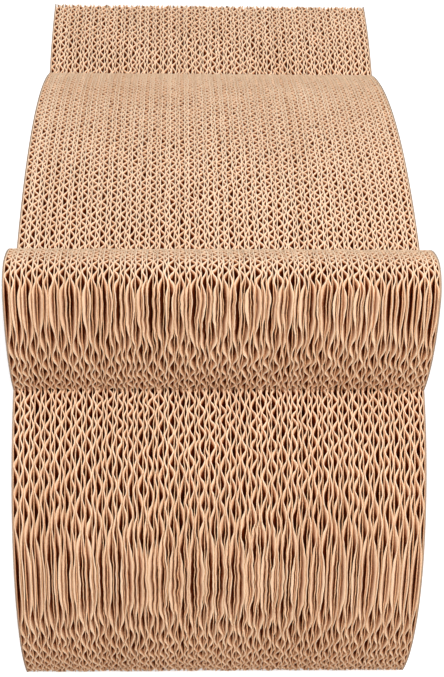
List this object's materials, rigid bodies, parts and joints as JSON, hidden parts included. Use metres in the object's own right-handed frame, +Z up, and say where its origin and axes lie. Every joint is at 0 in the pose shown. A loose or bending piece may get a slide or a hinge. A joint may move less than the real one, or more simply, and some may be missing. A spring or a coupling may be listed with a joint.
{
  "type": "cat scratcher",
  "caption": "Free-standing cardboard cat scratcher: corrugated boards glued side by side, cut to a wavy lounge outline with a rolled front lip, a long seat and a raised back end",
  "frame": {"origin": "centre of the bounding box on the floor, at the bottom of the base", "axes": "+Z up, +Y towards the raised back end, so the rolled front faces -Y, and +X across the stack of boards to the right when looking at the front"},
  "size_m": [0.2528, 0.437, 0.3542],
  "materials": {
    "kraft_board": "matt natural kraft, paler and fuzzy on the die-cut edges",
    "facing_sheet": "matt grey-brown kraft facing",
    "dry_glue": "dull dried starch glue"
  },
  "bodies": {
    "root": {"board_01": "kraft_board", "board_02": "kraft_board", "board_03": "kraft_board", "board_04": "kraft_board", "board_05": "kraft_board", "board_06": "kraft_board", "board_07": "kraft_board", "board_08": "kraft_board", "board_09": "kraft_board", "board_10": "kraft_board", "board_11": "kraft_board", "board_12": "kraft_board", "board_13": "kraft_board", "board_14": "kraft_board", "board_15": "kraft_board", "board_16": "kraft_board", "board_17": "kraft_board", "board_18": "kraft_board", "board_19": "kraft_board", "board_20": "kraft_board", "board_21": "kraft_board", "board_22": "kraft_board", "board_23": "kraft_board", "board_24": "kraft_board", "board_25": "kraft_board", "board_26": "kraft_board", "board_27": "kraft_board", "board_28": "kraft_board", "board_29": "kraft_board", "board_30": "kraft_board", "board_31": "kraft_board", "board_32": "kraft_board", "board_33": "kraft_board", "board_34": "kraft_board", "board_35": "kraft_board", "board_36": "kraft_board", "board_37": "kraft_board", "board_38": "kraft_board", "board_39": "kraft_board", "board_40": "kraft_board", "side_sheet_left": "facing_sheet", "side_sheet_right": "facing_sheet", "glue_films": "dry_glue"}
  },
  "joints": []
}
